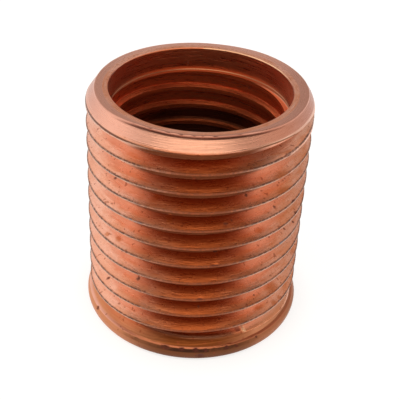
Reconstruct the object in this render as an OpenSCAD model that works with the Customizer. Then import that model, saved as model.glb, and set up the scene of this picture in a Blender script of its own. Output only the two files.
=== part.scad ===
// Threaded insert: a thin-walled bushing with a fine thread outside, a shallow
// thread of the same pitch inside, a flange at its foot and a chamfered lead end.
// Stands on its flange: Z is the axis, z = 0 the flange's under side, -Y the front.

/* [Body] */
// Whole length, flange to lead end
insert_length = 18.6; // [12:0.2:25]
// Outside diameter over the thread crests
thread_d = 16.3; // [12:0.1:24]
// Height of the chamfer at the lead end
lead_chamfer_h = 0.95; // [0.4:0.05:1.6]
// Width that the chamfer takes off the radius
lead_chamfer_w = 0.66; // [0.2:0.02:0.9]

/* [Outer thread] */
// Pitch of both threads
pitch = 1.5; // [1.25:0.25:2]
// Depth of the outer groove
groove_depth = 0.92; // [0.5:0.02:1]
// Width of the flat left on the crest
crest_flat = 0.14; // [0.08:0.02:0.3]
// Distance from the lead end to the topmost root at the front
lead_to_root = 1.55; // [1.3:0.01:3]
// Angle past the front at which the groove starts to fade
fade_start = 30; // [0:10:150]
// Angle over which the groove fades out
fade_turn = 80; // [60:10:200]

/* [Flange] */
// How far the flange stands out beyond the crests
flange_overhang = 0.25; // [0.1:0.05:2]
// Flange thickness
flange_t = 1.3; // [0.7:0.1:2]
// Height of the straight land on its rim
flange_land = 0.3; // [0.1:0.05:0.5]
// Width that the rounding below the land takes off the radius
flange_round_w = 0.5; // [0.1:0.05:0.6]
// Width of the relief groove above the flange
relief_w = 0.3; // [0.2:0.05:0.8]
// Depth of the relief groove below the crests
relief_depth = 0.85; // [0.4:0.05:0.9]

/* [Bore] */
// Wall between the outer groove's root and the inner one's
wall = 0.73; // [0.4:0.01:2]
// Height of the inner thread's ridge
ridge_h = 0.35; // [0.2:0.05:0.5]
// Width of the flat on the ridge
ridge_flat = 0.3; // [0.2:0.05:0.5]
// Angle by which the inner ridge lags the outer crest
inner_lag = 60; // [0:1:90]
// How far the plain mouth stands outside the inner groove
mouth_step = 0.035; // [0.025:0.005:0.2]
// Depth of the plain mouth
mouth_depth = 1.8; // [1:0.1:4]
// Chamfer at the bore's foot
foot_chamfer = 0.5; // [0.3:0.05:0.8]

/* [Hidden] */
copper = [0.72, 0.42, 0.31];

turn_steps = 36;
round_facets = 144;
arc_facets = 72;
// how far a cutter or a blank runs past what it meets
spare = 0.4;
flank_slope = tan(30);
crest_r = thread_d / 2;
flange_r = crest_r + flange_overhang;
top_root_z = insert_length - lead_to_root;
root_flat = pitch - crest_flat - 2 * groove_depth * flank_slope;
// whole turns of the outer thread below and above its root at the front,
// enough to run past the blank's ends
turns_below = ceil(top_root_z / pitch);
turns_above = ceil((insert_length - top_root_z) / pitch) + 1;

ridge_r = crest_r - groove_depth - wall - ridge_h;
mouth_r = ridge_r + ridge_h + mouth_step;
mouth_z = insert_length - mouth_depth;
// height of the inner ridge at the front, above which the mouth is plain
top_ridge_z = top_root_z + pitch / 2 - pitch * inner_lag / 360;
inner_below = ceil(top_ridge_z / pitch) + 1;
inner_above = ceil((mouth_z - top_ridge_z) / pitch) + 1;

// how much of the outer groove's depth is gone at angle a past the front
function faded(a) = let(t = min(1, max(0, (a - fade_start) / fade_turn)))
  groove_depth * (1 - cos(180 * t)) / 2;

// one corner of a section, at angle a past the front
function corner(a, r, z) = [r * sin(a), -r * cos(a), z];

// a groove's section, from the crest's edge below it to the crest's edge above
function groove(a, top_r, depth, flat, z) = let(w = flat / 2 + depth * flank_slope)
  [corner(a, top_r, z - w), corner(a, top_r - depth, z - flat / 2),
   corner(a, top_r - depth, z + flat / 2), corner(a, top_r, z + w)];

// A threaded rod from its groove's sections along the helix, turn_steps to a turn.
// Each crest joins a turn to the next, and a fan and one step close each end.
module threaded_rod(sections) {
  n = len(sections);
  last = n - 1;
  below = 4 * n;
  above = below + 1;
  flanks = [for (i = [0 : last - 1]) for (j = [0 : 2]) let(p = 4 * i + j)
      for (t = [[p, p + 1, p + 5], [p, p + 5, p + 4]]) t];
  crests = [for (i = [0 : last - 1 - turn_steps]) let(p = 4 * i + 3, q = 4 * (i + turn_steps))
      for (t = [[p, q, q + 4], [p, q + 4, p + 4]]) t];
  foot_fan = [for (i = [0 : turn_steps - 1]) [below, 4 * i, 4 * i + 4]];
  foot_step = concat([for (j = [0 : 2]) [below, j + 1, j]], [[below, 4 * turn_steps, 3]]);
  first_open = last - turn_steps;
  head_fan = [for (i = [first_open : last - 1]) [above, 4 * i + 7, 4 * i + 3]];
  head_step = concat([for (j = [0 : 2]) [above, 4 * last + j, 4 * last + j + 1]],
    [[above, 4 * first_open + 3, 4 * last]]);
  polyhedron(
    points = concat([for (s = sections) for (p = s) p],
      [[0, 0, sections[0][0].z - spare], [0, 0, sections[last][3].z + spare]]),
    faces = concat(flanks, crests, foot_fan, foot_step, head_fan, head_step), convexity = 12);
}

// the outer thread, its groove fading out near the lead end
module outer_thread() {
  threaded_rod([for (i = [-turns_below * turn_steps : turns_above * turn_steps])
    let(a = 360 * i / turn_steps)
    groove(a, crest_r, groove_depth - faded(a), root_flat, top_root_z + pitch * a / 360)]);
}

// the inner thread, as the rod that the bore takes away
module inner_thread() {
  threaded_rod([for (i = [-inner_below * turn_steps : inner_above * turn_steps])
    let(a = 360 * i / turn_steps)
    groove(a, ridge_r + ridge_h, ridge_h, ridge_flat, top_ridge_z + pitch * a / 360)]);
}

// the turned outline above the flange: relief floor, thread, lead chamfer
module turned_outline() {
  relief_r = crest_r - relief_depth;
  relief_top = flange_t + relief_w;
  // the chamfer is carried on down to where the outline is clear of the crests
  spare_h = spare * lead_chamfer_h / lead_chamfer_w;
  rotate_extrude($fn = round_facets)
    polygon([[0, flange_t / 2], [relief_r, flange_t / 2], [relief_r, relief_top],
      [crest_r + spare, relief_top], [crest_r + spare, insert_length - lead_chamfer_h - spare_h],
      [crest_r - lead_chamfer_w, insert_length], [0, insert_length]]);
}

// the flange, its rim straight above and rounded below
module flange() {
  round_h = flange_t - flange_land;
  // the arc meets the land square and ends at the under side
  round_r = (flange_round_w ^ 2 + round_h ^ 2) / (2 * flange_round_w);
  rotate_extrude($fn = round_facets) {
    translate([0, round_h]) square([flange_r, flange_land]);
    intersection() {
      square([flange_r, round_h]);
      union() {
        square([flange_r - round_r, round_h]);
        translate([flange_r - round_r, round_h]) circle(r = round_r, $fn = arc_facets);
      }
    }
  }
}

// the plain mouth at the lead end
module mouth() {
  translate([0, 0, mouth_z]) cylinder(r = mouth_r, h = mouth_depth + spare, $fn = round_facets);
}

// the chamfer at the bore's foot
module foot() {
  // the cone is carried on above and below the chamfer
  rotate_extrude($fn = round_facets)
    polygon([[0, -spare], [ridge_r + foot_chamfer + spare, -spare],
      [ridge_r - spare, foot_chamfer + spare], [0, foot_chamfer + spare]]);
}

module insert() {
  color(copper)
  difference() {
    union() {
      intersection() {
        turned_outline();
        outer_thread();
      }
      flange();
    }
    mouth();
    foot();
    inner_thread();
  }
}

insert();
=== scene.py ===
import math

import bpy
from mathutils import Matrix, Vector


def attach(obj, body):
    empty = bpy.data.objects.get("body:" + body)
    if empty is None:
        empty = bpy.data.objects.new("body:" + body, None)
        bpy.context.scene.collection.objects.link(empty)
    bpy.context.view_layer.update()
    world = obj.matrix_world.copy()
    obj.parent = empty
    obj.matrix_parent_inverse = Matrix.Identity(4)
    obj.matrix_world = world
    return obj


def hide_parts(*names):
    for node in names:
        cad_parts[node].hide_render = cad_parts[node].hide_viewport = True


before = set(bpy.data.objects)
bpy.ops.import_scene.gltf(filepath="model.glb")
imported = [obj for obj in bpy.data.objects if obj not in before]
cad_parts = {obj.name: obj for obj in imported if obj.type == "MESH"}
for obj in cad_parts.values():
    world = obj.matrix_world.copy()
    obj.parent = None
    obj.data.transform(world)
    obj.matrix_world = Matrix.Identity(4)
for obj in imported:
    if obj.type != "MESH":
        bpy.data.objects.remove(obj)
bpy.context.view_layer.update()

mm = 0.001


class Wire:
    # a socket that can be written in sums
    def __init__(self, graph, socket):
        self.graph = graph
        self.socket = socket

    def __add__(self, other):
        return self.graph.maths("ADD", self, other)

    def __radd__(self, other):
        return self.graph.maths("ADD", other, self)

    def __sub__(self, other):
        return self.graph.maths("SUBTRACT", self, other)

    def __rsub__(self, other):
        return self.graph.maths("SUBTRACT", other, self)

    def __mul__(self, other):
        return self.graph.maths("MULTIPLY", self, other)

    def __rmul__(self, other):
        return self.graph.maths("MULTIPLY", other, self)

    def __truediv__(self, other):
        return self.graph.maths("DIVIDE", self, other)

    def __rtruediv__(self, other):
        return self.graph.maths("DIVIDE", other, self)

    def __neg__(self):
        return self.graph.maths("MULTIPLY", self, -1.0)

    def __pow__(self, other):
        return self.graph.maths("POWER", self, other)

    def __mod__(self, other):
        return self.graph.maths("FLOORED_MODULO", self, other)

    def __gt__(self, other):
        return self.graph.maths("GREATER_THAN", self, other)

    def __lt__(self, other):
        return self.graph.maths("LESS_THAN", self, other)

    def __abs__(self):
        return self.graph.maths("ABSOLUTE", self)

    def least(self, other):
        return self.graph.maths("MINIMUM", self, other)

    def most(self, other):
        return self.graph.maths("MAXIMUM", self, other)

    def within(self, low, high):
        return self.most(low).least(high)

    def rise(self, start, end):
        # 0 before start, 1 after end, smooth between
        return self.graph.node("ShaderNodeMapRange", {"interpolation_type": "SMOOTHSTEP"},
                               {"Value": self, "From Min": start, "From Max": end})

    def drop(self, start, end):
        return 1.0 - self.rise(start, end)

    def between(self, start, full, fade, end):
        # 1 from full to fade, 0 before start and after end
        return self.rise(start, full) * self.drop(fade, end)


class Graph:
    def __init__(self, tree):
        self.tree = tree

    def plug(self, value, socket):
        if isinstance(value, Wire):
            self.tree.links.new(value.socket, socket)
        else:
            socket.default_value = value

    def node(self, kind, settings=(), sockets=(), out=0):
        made = self.tree.nodes.new(kind)
        for name, value in dict(settings).items():
            if name == "stops":
                ramp = made.color_ramp
                while len(ramp.elements) < len(value):
                    ramp.elements.new(1.0)
                for element, (place, colour) in zip(ramp.elements, value):
                    element.position = place
                    element.color = (*colour, 1.0)
            else:
                setattr(made, name, value)
        for name, value in dict(sockets).items():
            self.plug(value, made.inputs[name])
        return Wire(self, made.outputs[out])

    def maths(self, operation, *values):
        return self.node("ShaderNodeMath", {"operation": operation}, enumerate(values))

    def vector(self, x, y, z):
        return self.node("ShaderNodeCombineXYZ", {}, {"X": x, "Y": y, "Z": z})

    def axis(self, vector, which):
        return self.node("ShaderNodeSeparateXYZ", {}, {"Vector": vector}, which)

    def blend(self, factor, first, second, mode="MIX"):
        settings = {"data_type": "RGBA", "blend_type": mode, "clamp_factor": True}
        return self.node("ShaderNodeMix", settings, {0: factor, 6: first, 7: second}, 2)

    def noise(self, vector, scale, detail=2.0, roughness=0.5):
        return self.node("ShaderNodeTexNoise", {}, {
            "Vector": vector, "Scale": scale, "Detail": detail, "Roughness": roughness})

    def spot(self, across, up, wide, tall):
        # distance from a place, 1 at the edge of an oval of that half width and half height
        across, up = across / wide, up / tall
        return self.maths("SQRT", across * across + up * up)


# The insert's sizes, in millimetres, and its angles in degrees from the front towards the right
insert = {
    "length": 18.6, "crestRadius": 8.15, "leadRadius": 7.49, "chamferHeight": 0.95,
    "pitch": 1.5, "grooveDepth": 0.92, "rootFlat": 0.298, "topRoot": 17.05,
    "fadeStart": 30.0, "fadeTurn": 80.0,
    "flangeRadius": 8.4, "landFoot": 0.8, "landTop": 0.86, "roundWidth": 0.5,
    "rimRound": 0.3, "bevelAngle": 39.0, "bevelRun": 0.2, "brinkRound": 0.06, "brinkAngle": 66.0,
    "gentleRun": 2.2, "steepRun": 0.6, "cutTop": 1.79, "cutSoft": 0.04, "cutEscape": 8.0,
    "slopeSoft": 0.06, "shoulderTop": 1.75,
    "ridgeRadius": 6.15, "ridgeHeight": 0.35, "ridgeFlat": 0.3, "topRidge": 17.55,
    "mouthRadius": 6.535, "mouthDepth": 1.8, "footChamfer": 0.5,
    "edgeBand": 0.25, "edgeRound": 0.05, "mouthEdge": 0.035, "frontBevel": 0.45, "ledgeLip": 0.05,
    "columns": 300, "frontCrowding": 24.0,
}
# heights of the mesh's rows in one turn, from a groove's root and down from a ridge's middle
outerRows = [0.0, 0.149, 0.33, 0.51, 0.68, 0.75, 0.82, 0.91, 1.01, 1.11, 1.21, 1.29, 1.351]
innerRows = [0.0, 0.15, 0.25, 0.352, 0.55, 0.75, 0.95, 1.148, 1.25, 1.35]

# Wear in millimetres: the surface's wandering, the last turn that stands proud, the lead's
# swelling at the back on the right, and the turned mark just outside the lead edge
wear = {"wander": 0.02, "proud": 0.22, "swelling": 0.16, "mark": 0.07}
# Dents and burrs, the burrs of negative depth: angle, height, half width in degrees, half height, depth
dents = [
    (-55.0, 17.52, 1.6, 0.12, 0.10), (-33.0, 17.62, 0.9, 0.09, 0.07), (-19.0, 17.70, 0.8, 0.08, 0.07),
    (-11.5, 17.72, 0.8, 0.07, 0.06), (0.5, 17.74, 0.9, 0.09, 0.08), (57.0, 17.62, 1.8, 0.14, 0.10),
    (-26.0, 18.57, 0.9, 0.06, -0.07), (-15.7, 18.57, 0.7, 0.05, -0.05), (-8.7, 18.57, 1.4, 0.05, -0.06),
    (-2.0, 18.57, 0.8, 0.05, -0.06), (2.5, 18.57, 0.7, 0.05, -0.05), (9.0, 18.57, 1.3, 0.05, -0.06),
    (22.0, 18.57, 0.8, 0.05, -0.05),
    (-11.5, 1.15, 3.0, 0.11, 0.10), (-3.0, 1.16, 1.6, 0.10, 0.09), (4.3, 1.13, 1.7, 0.14, 0.11),
    (9.3, 1.13, 1.0, 0.09, 0.08), (14.0, 1.18, 1.2, 0.06, 0.05), (20.7, 1.15, 1.1, 0.10, 0.09),
    (26.0, 1.10, 1.0, 0.09, 0.08), (33.0, 1.08, 0.9, 0.08, 0.06), (38.5, 1.15, 1.1, 0.10, 0.08),
    (-60.0, 1.16, 2.0, 0.10, 0.08), (-28.0, 1.18, 1.4, 0.06, 0.05), (6.5, 0.65, 2.6, 0.26, 0.06),
    (45.8, 12.29, 0.9, 0.10, 0.07), (27.7, 13.92, 0.8, 0.08, 0.06), (16.1, 12.15, 1.4, 0.07, 0.05),
    (58.6, 12.10, 1.6, 0.09, 0.08), (59.6, 9.41, 0.8, 0.07, 0.06), (-54.5, 4.41, 0.9, 0.08, 0.06),
    (5.1, 5.90, 1.6, 0.07, 0.06), (12.0, 8.90, 2.6, 0.06, 0.05), (-30.6, 6.13, 1.1, 0.10, 0.06),
]


def insertTree(finish):
    tree = bpy.data.node_groups.new("turnedInsert", "GeometryNodeTree")
    g = Graph(tree)
    tree.interface.new_socket("Geometry", in_out="OUTPUT", socket_type="NodeSocketGeometry")
    for name in insert:
        kind = "NodeSocketInt" if name == "columns" else "NodeSocketFloat"
        tree.interface.new_socket(name, in_out="INPUT", socket_type=kind)
    entry = tree.nodes.new("NodeGroupInput")
    size = {name: Wire(g, entry.outputs[name]) for name in insert}

    place = g.node("GeometryNodeInputPosition")
    across = g.axis(place, 0)  # -0.5 to 0.5 round the insert, its middle at the front
    along = g.axis(place, 1) + 0.5
    turns = across - size["frontCrowding"] / 360.0 * g.maths("SINE", across * math.tau)
    angle = turns * math.tau
    sine = g.maths("SINE", angle)
    cosine = g.maths("COSINE", angle)
    tan30 = math.tan(math.radians(30))

    def band(rows, radius, height):
        grid = g.node("GeometryNodeMeshGrid", {}, {
            "Size X": 1.0, "Size Y": 1.0, "Vertices X": size["columns"], "Vertices Y": rows + 1})
        point = g.vector(radius * sine * mm, radius * cosine * -mm, height * mm)
        return g.node("GeometryNodeSetPosition", {}, {"Geometry": grid, "Position": point})

    def flat(rows, start, end):
        # a plain ring from one (radius, height) to another
        radius, height = (a + (b - a) * along for a, b in zip(start, end))
        return band(rows, radius, height)

    def arc(rows, pivot, reach, start, end):
        # a rounded edge about a (radius, height), from one elevation in degrees to another
        swing = (start + (end - start) * along) * (math.pi / 180.0)
        radius = pivot[0] + reach * g.maths("COSINE", swing)
        return band(rows, radius, pivot[1] + reach * g.maths("SINE", swing))

    def stepped(rowHeights, turnCount):
        # the height that a row has gained in its turn, and its turn
        count = len(rowHeights)
        row = g.maths("ROUND", along * (count * turnCount))
        switch = tree.nodes.new("GeometryNodeIndexSwitch")
        switch.data_type = "FLOAT"
        while len(switch.index_switch_items) < count:
            switch.index_switch_items.new()
        g.plug(row % count, switch.inputs["Index"])
        for socket, value in zip(switch.inputs[1:], rowHeights):
            socket.default_value = value
        return Wire(g, switch.outputs[0]), g.maths("FLOOR", row / count)

    def outerThread(height):
        turn = (height - size["topRoot"]) / size["pitch"] - turns
        whole = g.maths("ROUND", turn)
        fromRoot = abs(turn - whole) * size["pitch"]
        climbed = (whole + turns) * 360.0
        faded = climbed.rise(size["fadeStart"], size["fadeStart"] + size["fadeTurn"])
        wall = (fromRoot - size["rootFlat"] / 2.0).most(0.0) / tan30
        return size["crestRadius"] - (size["grooveDepth"] * (1.0 - faded) - wall).most(0.0)

    def innerThread(height):
        turn = (height - size["topRidge"]) / size["pitch"] - turns
        fromRidge = abs(turn - g.maths("ROUND", turn)) * size["pitch"]
        rise = (fromRidge - size["ridgeFlat"] / 2.0) / tan30
        return size["ridgeRadius"] + rise.most(0.0).least(size["ridgeHeight"])

    length, pitch = size["length"], size["pitch"]
    mouthHeight = length - size["mouthDepth"]
    landFoot, landTop, shoulderTop = size["landFoot"], size["landTop"], size["shoulderTop"]
    footRadius = size["ridgeRadius"] + size["footChamfer"]
    baseRadius = size["flangeRadius"] - size["roundWidth"]

    # the flange's bevel, and the brink where the shoulder above it starts
    bevel = size["bevelAngle"]
    leanCosine = g.maths("COSINE", bevel * (math.pi / 180.0))
    leanSine = g.maths("SINE", bevel * (math.pi / 180.0))
    rimPivot = (size["flangeRadius"] - size["rimRound"], landTop)
    bevelFoot = (rimPivot[0] + size["rimRound"] * leanCosine, landTop + size["rimRound"] * leanSine)
    bevelTop = (bevelFoot[0] - size["bevelRun"] * leanSine, bevelFoot[1] + size["bevelRun"] * leanCosine)
    brinkPivot = (bevelTop[0] - size["brinkRound"] * leanCosine,
                  bevelTop[1] - size["brinkRound"] * leanSine)
    brinkSwing = size["brinkAngle"] * (math.pi / 180.0)
    brinkRadius = brinkPivot[0] + size["brinkRound"] * g.maths("COSINE", brinkSwing)
    brinkHeight = brinkPivot[1] + size["brinkRound"] * g.maths("SINE", brinkSwing)

    def overShoulder(height):
        # the last groove runs out between a steep cut and a gentle slope; past its top the
        # cut moves quickly out of the thread's way
        gone = height.least(size["cutTop"]) - brinkHeight
        past = (height - size["cutTop"] - 0.1).most(0.0)
        steep = brinkRadius - gone * size["steepRun"] + past * size["cutEscape"]
        gentle = brinkRadius - (height - brinkHeight) * size["gentleRun"]
        cut = g.maths("SMOOTH_MIN", outerThread(height), steep, size["cutSoft"])
        sloped = g.maths("SMOOTH_MAX", cut, gentle, size["slopeSoft"])
        near = height < size["cutTop"] + 0.4
        return sloped * near + outerThread(height) * (1.0 - near)

    # outside: thread and chamfer, the chamfer's last stretch in rows of its own;
    # the chamfer is wider at the front, as if the tool ran out of true
    ahead = (turns * 360.0).between(-62.0, -22.0, 18.0, 58.0)
    leadRadius = size["leadRadius"] - size["frontBevel"] * ahead
    slope = (size["crestRadius"] - leadRadius) / size["chamferHeight"]
    bandFoot = length - size["edgeBand"]
    edgeFoot = length - size["edgeRound"]
    outerTurns = 13
    gained, turn = stepped(outerRows, outerTurns)
    height = (size["topRoot"] + pitch * (turns + turn - 11.0) + gained).within(shoulderTop, bandFoot)
    radius = overShoulder(height).least(leadRadius + (length - height) * slope)
    outside = band(len(outerRows) * outerTurns, radius, height)

    # inside: thread and foot chamfer
    innerTurns = 14
    lost, turn = stepped(innerRows, innerTurns)
    height = (size["topRidge"] + pitch * (turns + 1.0 - turn) - lost).within(0.0, mouthHeight)
    lip = size["mouthRadius"] - size["ledgeLip"] + (mouthHeight - height) * 0.3
    radius = innerThread(height).least(lip).most(footRadius - height)
    inside = band(len(innerRows) * innerTurns, radius, height)

    # the flange's rounding, an arc square to the land
    roundHeight = landFoot
    roundRadius = (size["roundWidth"] ** 2.0 + roundHeight ** 2.0) / (2.0 * size["roundWidth"])
    swing = g.maths("ARCSINE", roundHeight / roundRadius) * (1.0 - along)
    rounding = band(8, size["flangeRadius"] - roundRadius * (1.0 - g.maths("COSINE", swing)),
                    landFoot - roundRadius * g.maths("SINE", swing))

    # the shoulder, its first row the brink's last one
    shoulderRows = 14
    height = brinkHeight + (shoulderTop - brinkHeight) * along
    started = (along * shoulderRows).least(1.0)
    radius = brinkRadius + (overShoulder(height) - brinkRadius) * started
    shoulder = band(shoulderRows, radius, height)

    edgeRadius = leadRadius + size["edgeRound"] * slope
    innerEdge = size["mouthRadius"] + size["mouthEdge"]
    lipRadius = size["mouthRadius"] - size["ledgeLip"]
    innerFoot = length - size["mouthEdge"] * 2.0
    rings = [
        outside,
        flat(6, (edgeRadius + (edgeFoot - bandFoot) * slope, bandFoot), (edgeRadius, edgeFoot)),
        arc(3, (edgeRadius - size["edgeRound"], edgeFoot), size["edgeRound"], 0.0, 90.0),
        flat(9, (edgeRadius - size["edgeRound"], length), (innerEdge, length)),
        flat(1, (innerEdge, length), (size["mouthRadius"], innerFoot)),
        flat(12, (size["mouthRadius"], innerFoot), (size["mouthRadius"], mouthHeight + size["ledgeLip"])),
        flat(2, (size["mouthRadius"], mouthHeight + size["ledgeLip"]), (lipRadius, mouthHeight)),
        flat(2, (lipRadius, mouthHeight), (innerThread(mouthHeight).least(lipRadius), mouthHeight)),
        inside,
        flat(4, (footRadius, 0.0), (baseRadius, 0.0)),
        rounding,
        flat(1, (size["flangeRadius"], landFoot), (size["flangeRadius"], landTop)),
        arc(4, rimPivot, size["rimRound"], 0.0, bevel),
        flat(3, bevelFoot, bevelTop),
        arc(3, brinkPivot, size["brinkRound"], bevel, size["brinkAngle"]),
        shoulder,
    ]
    joined = tree.nodes.new("GeometryNodeJoinGeometry")
    for ring in reversed(rings):
        tree.links.new(ring.socket, joined.inputs[0])
    closed = g.node("GeometryNodeMergeByDistance", {}, {
        "Geometry": Wire(g, joined.outputs[0]), "Distance": 0.5e-6})

    # wear: how far each point moves out, in millimetres
    x, y, z = (g.axis(place, i) / mm for i in range(3))
    radius = g.maths("SQRT", x * x + y * y)
    degrees = g.maths("ARCTAN2", x, -y) * (180.0 / math.pi)
    onOutside = radius.rise(6.9, 7.1)
    moved = (g.noise(g.vector(x, y, z), 0.5) - 1.0) * wear["wander"]
    for dentAngle, dentHeight, wide, tall, deep in dents:
        dent = g.spot(degrees - dentAngle, z - dentHeight, wide, tall).drop(0.1, 1.0)
        moved = moved - dent * deep
    proud = degrees.between(31.4, 32.2, 60.0, 95.0) * z.between(1.66, 1.76, 2.15, 2.35)
    swelling = degrees.between(55.0, 100.0, 140.0, 175.0) * z.rise(17.5, 18.2)
    mark = degrees.between(-52.0, -30.0, 18.0, 45.0) * z.between(18.42, 18.47, 18.50, 18.55)
    moved = moved + proud * wear["proud"] + swelling * wear["swelling"] - mark * wear["mark"]
    push = g.vector(x * moved / radius * onOutside * mm, y * moved / radius * onOutside * mm, 0.0)
    worn = g.node("GeometryNodeSetPosition", {}, {"Geometry": closed, "Offset": push})

    smooth = g.node("GeometryNodeSetShadeSmooth", {"domain": "FACE"}, {"Geometry": worn})
    bend = g.node("GeometryNodeInputMeshEdgeAngle")
    smooth = g.node("GeometryNodeSetShadeSmooth", {"domain": "EDGE"}, {
        "Geometry": smooth, "Shade Smooth": bend < math.radians(26)})
    real = g.node("GeometryNodeRealizeInstances", {}, {"Geometry": smooth})
    dressed = g.node("GeometryNodeSetMaterial", {}, {"Geometry": real, "Material": finish})
    leave = tree.nodes.new("NodeGroupOutput")
    tree.links.new(dressed.socket, leave.inputs[0])
    return tree


def makeInsert(finish):
    tree = insertTree(finish)
    holder = bpy.data.objects.new("insertBlank", bpy.data.meshes.new("insertBlank"))
    bpy.context.scene.collection.objects.link(holder)
    modifier = holder.modifiers.new("turning", "NODES")
    modifier.node_group = tree
    for item in tree.interface.items_tree:
        if item.in_out == "INPUT":
            modifier[item.identifier] = insert[item.name]
    graph = bpy.context.evaluated_depsgraph_get()
    mesh = bpy.data.meshes.new_from_object(holder.evaluated_get(graph), depsgraph=graph)
    holder.modifiers.remove(modifier)
    bpy.data.objects.remove(holder)
    mesh.name = "threadedInsert"
    piece = bpy.data.objects.new("threadedInsert", mesh)
    bpy.context.scene.collection.objects.link(piece)
    print("insert:", len(mesh.vertices), "points,", len(mesh.polygons), "faces")
    return piece


# Colours are linear, the first ones of bare metal and the later ones of films and marks on it and of
# painted light and shade
copper = {
    "body": (0.86, 0.36, 0.20), "pink": (0.92, 0.48, 0.34), "leftLight": (0.88, 0.52, 0.41),
    "orange": (0.74, 0.22, 0.07), "front": (0.46, 0.108, 0.033), "root": (0.94, 0.60, 0.46),
    "underside": (0.22, 0.064, 0.022), "olive": (0.24, 0.092, 0.032),
    "shoulder": (0.66, 0.27, 0.13), "shadedShoulder": (0.21, 0.056, 0.015), "brink": (0.48, 0.16, 0.08),
    "rim": (0.20, 0.068, 0.026), "lead": (0.85, 0.44, 0.33), "shade": (0.44, 0.18, 0.12),
    "bore": (0.84, 0.25, 0.11), "boreSideLight": (0.64, 0.34, 0.24), "inner": (0.80, 0.17, 0.06),
    "ledge": (0.34, 0.15, 0.08), "depth": (0.34, 0.07, 0.022), "band": (0.70, 0.30, 0.15),
    "highlight": (1.0, 0.68, 0.42), "crest": (0.085, 0.032, 0.019), "rootShade": (0.17, 0.050, 0.020),
    "gloom": (0.09, 0.025, 0.012), "groove": (0.16, 0.03, 0.018), "sootAndShade": (0.06, 0.02, 0.01),
    "stain": (0.55, 0.15, 0.04), "speck": (0.12, 0.03, 0.02), "freckle": (0.28, 0.06, 0.025),
    "ash": (0.34, 0.30, 0.34), "roughness": 0.30,
}
# Heights in millimetres over which a finish sets in, and in the fours also leaves off again
heights = {
    "rimSoot": (0.9, 1.02), "rim": (1.14, 1.2), "brink": (1.15, 1.2, 1.24, 1.34),
    "shoulder": (1.6, 1.8), "cutLine": (1.66, 1.72, 1.80, 1.88), "thread": (1.72, 1.80),
    "turnEnd": (1.7, 1.8, 2.2, 2.4), "proudTurn": (2.2, 2.35),
    "topCrest": (17.4, 17.6), "topGroove": (17.2, 17.5), "topFlank": (17.25, 17.4),
    "footLine": (17.57, 17.63, 17.70, 17.77), "helix": (17.5, 17.75), "lead": (17.7, 17.9),
    "mark": (18.40, 18.44, 18.49, 18.53), "face": (18.5, 18.55), "faceEdge": (18.5, 18.56),
    "boreFoot": (11.6, 12.2), "darkGroove": (13.2, 13.6), "boreDepth": (12.4, 16.4),
    "inner": (16.7, 16.76), "mouth": (16.74, 16.78), "ledge": (16.77, 16.79, 16.85, 16.87),
}
# Marks on the metal: angle, height, half width in degrees and half height
specks = [
    (27.7, 13.92, 0.8, 0.08), (45.8, 12.29, 0.9, 0.10), (16.1, 12.15, 1.4, 0.07), (19.5, 12.25, 0.6, 0.05),
    (58.6, 12.10, 1.8, 0.09), (64.2, 10.66, 1.4, 0.08), (59.6, 9.41, 0.8, 0.07), (68.5, 9.35, 1.0, 0.06),
    (48.4, 16.52, 2.0, 0.05), (37.8, 4.83, 0.6, 0.05), (-54.5, 4.41, 1.0, 0.08), (-30.6, 6.13, 1.2, 0.10),
    (-29.1, 5.75, 0.7, 0.06), (-23.7, 5.78, 0.7, 0.06), (5.1, 5.90, 1.8, 0.07), (4.9, 4.74, 0.7, 0.06),
    (18.6, 6.22, 0.5, 0.04), (-49.2, 13.62, 1.1, 0.08), (12.6, 9.45, 1.6, 0.06), (11.5, 8.90, 2.7, 0.06),
    (-13.6, 5.80, 2.4, 0.04), (-11.5, 1.10, 3.2, 0.12), (-3.0, 1.12, 1.6, 0.11), (4.3, 1.10, 1.7, 0.16),
    (9.3, 1.08, 1.1, 0.10), (20.7, 1.10, 1.1, 0.12), (26.0, 1.04, 0.9, 0.10), (6.5, 0.65, 2.4, 0.28),
    (38.5, 1.12, 0.8, 0.08), (-60.0, 1.12, 1.4, 0.10),
    (145.0, 16.05, 1.9, 0.18), (190.0, 17.35, 0.6, 0.20),
]
stains = [
    (45.7, 15.11, 7.0, 0.20), (48.7, 13.66, 5.0, 0.14), (36.5, 10.81, 4.0, 0.14), (50.4, 4.77, 5.0, 0.26),
    (52.9, 3.18, 2.6, 0.16), (58.1, 3.20, 1.6, 0.10), (42.6, 3.32, 4.0, 0.10), (-20.2, 13.69, 2.0, 0.12),
    (-12.9, 12.19, 2.2, 0.20), (-52.1, 8.81, 2.2, 0.10), (-43.9, 8.95, 2.4, 0.12),
]
ashes = [
    (-44.5, 11.62, 5.0, 0.10), (-29.6, 11.68, 6.0, 0.08), (-46.8, 14.58, 3.0, 0.08),
    (50.2, 9.08, 7.0, 0.10),
]


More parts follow.
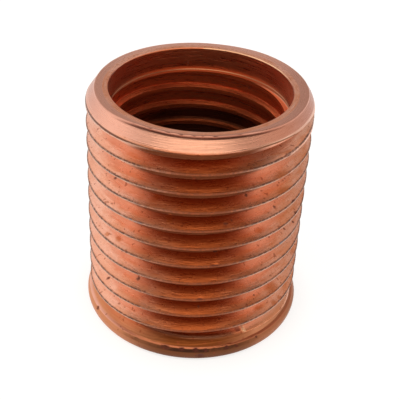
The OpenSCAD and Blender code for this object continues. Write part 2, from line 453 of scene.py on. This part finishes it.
def copperFinish():
    finish = bpy.data.materials.new("turnedCopper")
    finish.use_nodes = True
    tree = finish.node_tree
    g = Graph(tree)
    shader = tree.nodes["Principled BSDF"]
    rgba = {name: (*copper[name], 1.0) for name in copper if name != "roughness"}

    # where a point stands on the insert
    point = g.node("ShaderNodeTexCoord", {}, {}, 3)
    point = g.node("ShaderNodeVectorMath", {"operation": "SCALE"}, {"Vector": point, "Scale": 1 / mm})
    x, y, z = (g.axis(point, i) for i in range(3))
    radius = g.maths("SQRT", x * x + y * y)
    turns = g.maths("ARCTAN2", x, -y) / math.tau
    degrees = turns * 360.0
    facing = -y / radius
    ahead = facing.rise(0.2, 0.95)
    sided = abs(degrees).drop(115.0, 175.0)
    onRight = degrees.rise(18.0, 80.0) * sided
    onLeft = (-degrees).rise(20.0, 65.0) * sided
    outside = radius.rise(6.9, 7.0)
    bore = radius.drop(6.54, 6.58)
    threaded = outside * z.rise(*heights["thread"])
    lead = outside * z.rise(*heights["lead"])
    shoulder = outside * z.drop(*heights["shoulder"])
    brink = outside * z.between(*heights["brink"])
    rim = outside * z.drop(*heights["rim"])

    # where it stands in the outside thread, whose groove fades out near the lead
    turn = (z - insert["topRoot"]) / insert["pitch"] - turns
    whole = g.maths("ROUND", turn)
    fromRoot = (turn - whole) * insert["pitch"]
    climbed = whole + turns
    fading = (climbed * 360.0).rise(insert["fadeStart"], insert["fadeStart"] + insert["fadeTurn"])
    flankHeight = insert["grooveDepth"] * math.tan(math.radians(30))
    crestStart = insert["rootFlat"] / 2 + flankHeight * (1.0 - fading)
    rootEnd = insert["rootFlat"] / 2 * (1.0 - fading * 0.7)
    chamferFoot = insert["length"] - insert["chamferHeight"]
    sunkIn = radius.drop(insert["crestRadius"] - 0.09, insert["crestRadius"] - 0.05)
    underLead = z.drop(chamferFoot + 0.1, chamferFoot + 0.3)
    inGroove = threaded * underLead.most(sunkIn * (z < chamferFoot + 0.3))
    root = inGroove * abs(fromRoot).drop(rootEnd - 0.04, rootEnd + 0.05)
    downFlank = inGroove * fromRoot.rise(0.12, 0.18) * (1.0 - fading)
    downFlank = downFlank * fromRoot.drop(crestStart - 0.04, crestStart + 0.02)

    # fine turned lines, along the helix on the thread and level elsewhere
    helical = g.vector(climbed * 28.0, fromRoot * 7.0, 0.0)
    level = g.vector(x * 0.3 + radius * 9.0, y * 0.3, z * 9.0)
    onHelix = threaded * z.drop(*heights["helix"])
    lathe = g.node("ShaderNodeMix", {"data_type": "VECTOR"}, {0: onHelix, 4: level, 5: helical}, 1)
    turned = g.noise(lathe, 1.0, 3.0, 0.65)
    finer = g.noise(lathe, 3.6, 2.0, 0.6)
    patches = g.noise(point, 0.42, 3.0, 0.6)
    grain = g.noise(point, 5.5, 2.0, 0.6)

    # painted light and shade on the thread: painted shade on the crests, under them and at the front, and
    # painted light in the grooves at the sides
    # painted shade: dark lines on the crests, a little weaker right at the front
    crest = threaded * z.drop(*heights["topCrest"]) * abs(fromRoot).between(
        crestStart - 0.07, crestStart, crestStart + 0.09, crestStart + 0.15)
    crest = crest * (0.55 + 0.4 * grain.rise(0.4, 0.55)) * (1.0 - 0.4 * facing.rise(0.84, 0.985))
    # painted shade: a dark line at the chamfer's foot, over a flank that would reflect the bright floor
    footLine = outside * z.between(*heights["footLine"]) * radius.rise(8.0, 8.05)
    # painted shade: the thread darker at the front
    frontShade = abs(degrees - 4.0).drop(6.0, 44.0)
    # painted light: the grooves lighter at the sides, over the shade that falls in them
    sideGrooveLight = inGroove * fromRoot.rise(-0.42, -0.2) * facing.drop(0.8, 0.98)
    # painted shade under the crests, strongest at the front, on the right and near the top
    underShade = g.blend(fromRoot.rise(0.3, 0.6), rgba["underside"], rgba["olive"])
    underShaded = facing.rise(0.76, 0.99).most(onRight * 0.5)
    underShaded = underShaded.most(z.rise(*heights["topFlank"]) * degrees.rise(10.0, 24.0))
    underShaded = underShaded * (1.0 - 0.3 * z.rise(*heights["topGroove"]) * facing.rise(0.8, 0.95))
    lastTurn = threaded * degrees.between(30.6, 32.0, 60.0, 85.0) * z.drop(*heights["proudTurn"])
    # painted shadow beside the end of the last turn
    turnEnd = degrees.between(27.0, 28.5, 30.2, 31.2) * z.between(*heights["turnEnd"])

    # the flange's rim and shoulder, with painted shade darkest at the front
    # painted shade: the shoulder darker at the front and on the right
    shoulderShade = abs(degrees - 4.0).drop(10.0, 46.0).most(onRight * 0.7)
    # painted shade: the rim's dark colour fades in towards the front
    rimShade = 0.06 + 0.94 * abs(degrees - 8.0).drop(6.0, 54.0)
    # dark patches on the rim's top at the front: patchy dirt and painted shade
    rimSootAndShade = z.rise(*heights["rimSoot"]) * facing.rise(0.75, 0.97)
    rimSootAndShade = rimSootAndShade * (0.35 + 0.65 * patches.rise(0.4, 0.6))
    # painted shade along the line where the shoulder's cut meets the thread
    cutLine = outside * z.between(*heights["cutLine"]) * degrees.between(-60.0, -40.0, 24.0, 29.0)

    # the lead: a dimmer chamfer at the sides, painted shade in a mark at its edge and a painted highlight
    # on the inner edge
    onFace = z.rise(*heights["face"])
    dim = (onRight * 0.85).most((-degrees).rise(45.0, 100.0) * 0.7) * (1.0 - onFace)
    dim = dim.most(onFace * (0.3 + 0.15 * onRight)) * abs(degrees).drop(100.0, 140.0)
    # painted shade in the turned mark outside the lead edge
    marked = lead * z.between(*heights["mark"]) * facing.rise(0.6, 0.85)
    highlightEdge = z.rise(*heights["faceEdge"]) * radius.drop(6.575, 6.59) * degrees.rise(95.0, 115.0)

    # the bore, with painted shade: darker downwards, on the ridge flanks and in one black groove at the
    # back
    # painted light and shade: the mouth wall paler at the sides and deeper red at the back
    mouth = g.blend((-facing).rise(0.2, 0.95), rgba["boreSideLight"], rgba["bore"])
    inner = bore * z.drop(*heights["inner"])
    ridgeFlank = inner * radius.between(6.16, 6.2, 6.42, 6.48)
    gloomy = z.drop(*heights["darkGroove"]) * radius.rise(6.2, 6.4) * (-facing).rise(0.6, 0.9)
    gloomy = gloomy.most(z.drop(*heights["boreFoot"]))

    def nearest(marks):
        wander = (grain - 0.5) * 1.6
        distance = 9.0
        for markAngle, height, wide, tall in marks:
            away = g.spot((degrees - markAngle + 180.0) % 360.0 - 180.0, z - height, wide, tall)
            distance = away if isinstance(distance, float) else distance.least(away)
        return (distance + wander).drop(0.3, 1.25)

    freckles = outside * (1.0 - 0.8 * lead) * g.noise(point, 3.1, 1.0, 0.5).rise(0.67, 0.72)
    spotted = nearest(specks)

    # the coats, painted light and shade among them, in the order in which they are laid over the bare
    # metal
    colour = g.blend(patches.rise(0.36, 0.62), rgba["body"], rgba["pink"])
    coats = [
        (turned.rise(0.48, 0.7) * 0.6, rgba["orange"]),
        (finer.rise(0.52, 0.75) * 0.4, rgba["stain"]),
        (grain.rise(0.52, 0.66) * (0.45 - facing * 0.3), rgba["stain"]),
        # painted light: the thread paler on the left, where the light falls
        (threaded * onLeft * 0.45, rgba["leftLight"]),
        # painted shade on the thread's front
        (threaded * frontShade, rgba["front"]),
        (lead * 0.85, rgba["lead"]),
        (lead * dim, rgba["shade"]),
        (shoulder * 0.9, rgba["shoulder"]),
        (shoulder * shoulderShade, rgba["shadedShoulder"]),
        # painted highlight: the brink paler on the left
        (brink, g.blend(onLeft, rgba["brink"], rgba["lead"])),
        (rim * rimShade, rgba["rim"]),
        (rim * rimSootAndShade, rgba["sootAndShade"]),
        (cutLine * 0.6, rgba["sootAndShade"]),
        (lastTurn * 0.7, rgba["band"]),
        # painted highlight on the end face of the last turn
        (lastTurn * degrees.drop(32.8, 33.8) * 0.8, rgba["highlight"]),
        # painted shadow beside the last turn's end
        (threaded * turnEnd * 0.8, rgba["groove"]),
        # painted shade on the crests
        (crest, rgba["crest"]),
        # painted shade at the chamfer's foot
        (footLine * 0.85, rgba["crest"]),
        (bore, g.blend(z.rise(*heights["mouth"]), rgba["inner"], mouth)),
        # painted shade deeper in the bore and on the ridge flanks
        (bore * z.drop(*heights["boreDepth"]) * 0.8, rgba["depth"]),
        (ridgeFlank * 0.5, rgba["depth"]),
        # painted shade low in the bore and in the grooves at the back
        (bore * gloomy * 0.9, rgba["gloom"]),
        # painted shade on the ledge at the mouth's foot
        (bore * z.between(*heights["ledge"]) * 0.9, rgba["ledge"]),
        # painted shade in the mark at the lead edge
        (marked * 0.7, rgba["groove"]),
        # painted light in the grooves at the sides
        (sideGrooveLight * 0.6, rgba["root"]),
        # painted shade under the crests
        (downFlank * underShaded, underShade),
        # painted shade in the groove roots at the front
        (root * facing.rise(0.7, 0.9), rgba["rootShade"]),
        (nearest(stains) * 0.7, rgba["stain"]),
        (nearest(ashes) * grain.rise(0.45, 0.6) * root.most(crest), rgba["ash"]),
        (freckles * 0.55, rgba["freckle"]),
        (spotted * 0.8, rgba["speck"]),
        # painted highlight on the bore's edge at the back right
        (highlightEdge * 0.7, rgba["highlight"]),
    ]
    for mask, coat in coats:
        colour = g.blend(mask, colour, coat)
    g.plug(colour, shader.inputs["Base Color"])

    dull = (rim * ahead).most(spotted)
    masked = (0.15 * dull).most(inner * 0.12).most(crest * 0.5).most(footLine * onRight * 0.6)
    g.plug(1.0 - masked, shader.inputs["Metallic"])
    rough = copper["roughness"] + (turned - 0.5) * 0.22 + (finer - 0.5) * 0.2 + dull * 0.25
    rough = rough + downFlank * 0.15 + shoulder * 0.05 + crest * 0.2 + footLine * onRight * 0.4
    g.plug(rough.within(0.2, 0.8), shader.inputs["Roughness"])
    relief = turned + finer * 0.35 + grain * 0.15
    bump = g.node("ShaderNodeBump", {}, {"Strength": 0.6, "Distance": 0.03 * mm, "Height": relief})
    g.plug(bump, shader.inputs["Normal"])
    return finish


# Distances in millimetres, angles in degrees
view = {
    "elevation": 33.95, "roll": 3.05, "distance": 65.83,
    "right": 0.33, "down": 0.300, "aimHeight": 9.276, "lens": 77.47, "sensor": 36.0,
}


def makeCamera():
    tilt, roll = math.radians(view["elevation"]), math.radians(view["roll"])
    ahead = Vector((0, math.cos(tilt), -math.sin(tilt)))
    up = Vector((0, math.sin(tilt), math.cos(tilt)))
    side = Vector((1, 0, 0))
    camX = side * math.cos(roll) + up * math.sin(roll)
    camY = up * math.cos(roll) - side * math.sin(roll)
    data = bpy.data.cameras.new("camera")
    data.sensor_width = view["sensor"]
    data.lens = view["lens"]
    data.clip_start = 0.001
    data.clip_end = 10.0
    camera = bpy.data.objects.new("camera", data)
    bpy.context.scene.collection.objects.link(camera)
    turn = Matrix((camX, camY, -ahead)).transposed().to_4x4()
    place = Vector((0, 0, view["aimHeight"])) - ahead * view["distance"]
    place += camX * view["right"] - camY * view["down"]
    camera.matrix_world = Matrix.Translation(place * mm) @ turn
    bpy.context.scene.camera = camera


# Radiance of the room in linear colour: a pale horizon, dimmer walls, a lamp at the front
room = {
    "horizon": (1.0, 0.99, 0.98), "left": (1.12, 1.05, 0.99), "right": (0.72, 0.57, 0.47),
    "back": (0.54, 0.49, 0.46), "front": (0.80, 0.70, 0.62), "ceiling": (0.06, 0.04, 0.03),
    "zenith": (0.10, 0.06, 0.04), "lamp": (1.45, 1.40, 1.15),
    "wallStart": 0.10, "wallEnd": 0.30, "ceilingStart": 0.71, "ceilingEnd": 0.91,
    "zenithStart": 0.93, "zenithEnd": 0.99,
    "lampAngle": -4.0, "lampElevation": 60.0, "lampReach": 25.0, "lampSpread": 2.2, "lampNarrow": 0.6,
}


def makeRoom():
    world = bpy.data.worlds.new("room")
    bpy.context.scene.world = world
    world.use_nodes = True
    tree = world.node_tree
    g = Graph(tree)
    look = g.node("ShaderNodeTexCoord", {}, {}, 0)
    x, y, z = (g.axis(look, i) for i in range(3))
    flatLength = g.maths("SQRT", x * x + y * y).most(0.001)
    sideways, backways = x / flatLength, y / flatLength
    rgba = {name: (*value, 1.0) for name, value in room.items() if isinstance(value, tuple)}
    sides = g.blend(sideways * 0.5 + 0.5, rgba["left"], rgba["right"])
    wall = g.blend((backways + sideways * 0.3).rise(0.45, 1.0), sides, rgba["back"])
    wall = g.blend((-backways).rise(0.3, 1.0), wall, rgba["front"])
    sky = g.blend(z.rise(room["wallStart"], room["wallEnd"]), rgba["horizon"], wall)
    sky = g.blend(z.rise(room["ceilingStart"], room["ceilingEnd"]), sky, rgba["ceiling"])
    sky = g.blend(z.rise(room["zenithStart"], room["zenithEnd"]), sky, rgba["zenith"])
    turn, tilt = math.radians(room["lampAngle"]), math.radians(room["lampElevation"])
    aim = (math.sin(turn) * math.cos(tilt), -math.cos(turn) * math.cos(tilt), math.sin(tilt))
    wide = g.vector(x * room["lampNarrow"], y, z)
    oval = g.node("ShaderNodeVectorMath", {"operation": "NORMALIZE"}, {0: wide})
    towards = g.node("ShaderNodeVectorMath", {"operation": "DOT_PRODUCT"}, {0: oval, 1: aim}, 1)
    edge = math.cos(math.radians(room["lampReach"]))
    sky = g.blend(towards.rise(edge, 1.0) * room["lampSpread"], sky, rgba["lamp"], "ADD")
    g.plug(sky, tree.nodes["Background"].inputs["Color"])


def makeFloor():
    reach = 1.2
    mesh = bpy.data.meshes.new("floor")
    corners = [(-reach, -reach, 0), (reach, -reach, 0), (reach, reach, 0), (-reach, reach, 0)]
    mesh.from_pydata(corners, [], [(0, 1, 2, 3)])
    floor = bpy.data.objects.new("floor", mesh)
    bpy.context.scene.collection.objects.link(floor)
    finish = bpy.data.materials.new("paleFloor")
    finish.use_nodes = True
    tree = finish.node_tree
    tree.nodes.clear()
    g = Graph(tree)
    paper = g.node("ShaderNodeBsdfDiffuse", {}, {"Color": (0.9, 0.9, 0.9, 1.0)})
    glow = g.node("ShaderNodeEmission", {}, {"Strength": 1.22})
    rays = tree.nodes.new("ShaderNodeLightPath")
    seen = Wire(g, rays.outputs["Is Camera Ray"]).most(Wire(g, rays.outputs["Is Glossy Ray"]))
    seen = seen.most(Wire(g, rays.outputs["Is Transmission Ray"]))
    # painted shadow on the floor: no glow under the insert, and less close to it
    spot = g.node("ShaderNodeTexCoord", {}, {}, 3)
    away = g.node("ShaderNodeVectorMath", {"operation": "LENGTH"}, {0: spot}, 1) / mm
    lit = (0.3 + 0.7 * away.rise(7.6, 8.2)) * (0.9 + 0.1 * away.rise(8.2, 10.5))
    mixed = g.node("ShaderNodeMixShader", {}, {0: seen * lit * 0.72, 1: paper, 2: glow})
    leave = tree.nodes.new("ShaderNodeOutputMaterial")
    tree.links.new(mixed.socket, leave.inputs[0])
    mesh.materials.append(finish)


scene = bpy.context.scene
scene.view_settings.view_transform = "Standard"
makeCamera()
makeRoom()
makeFloor()
print("camera, room and floor are in place")
piece = makeInsert(copperFinish())
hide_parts("insert")
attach(piece, "root")
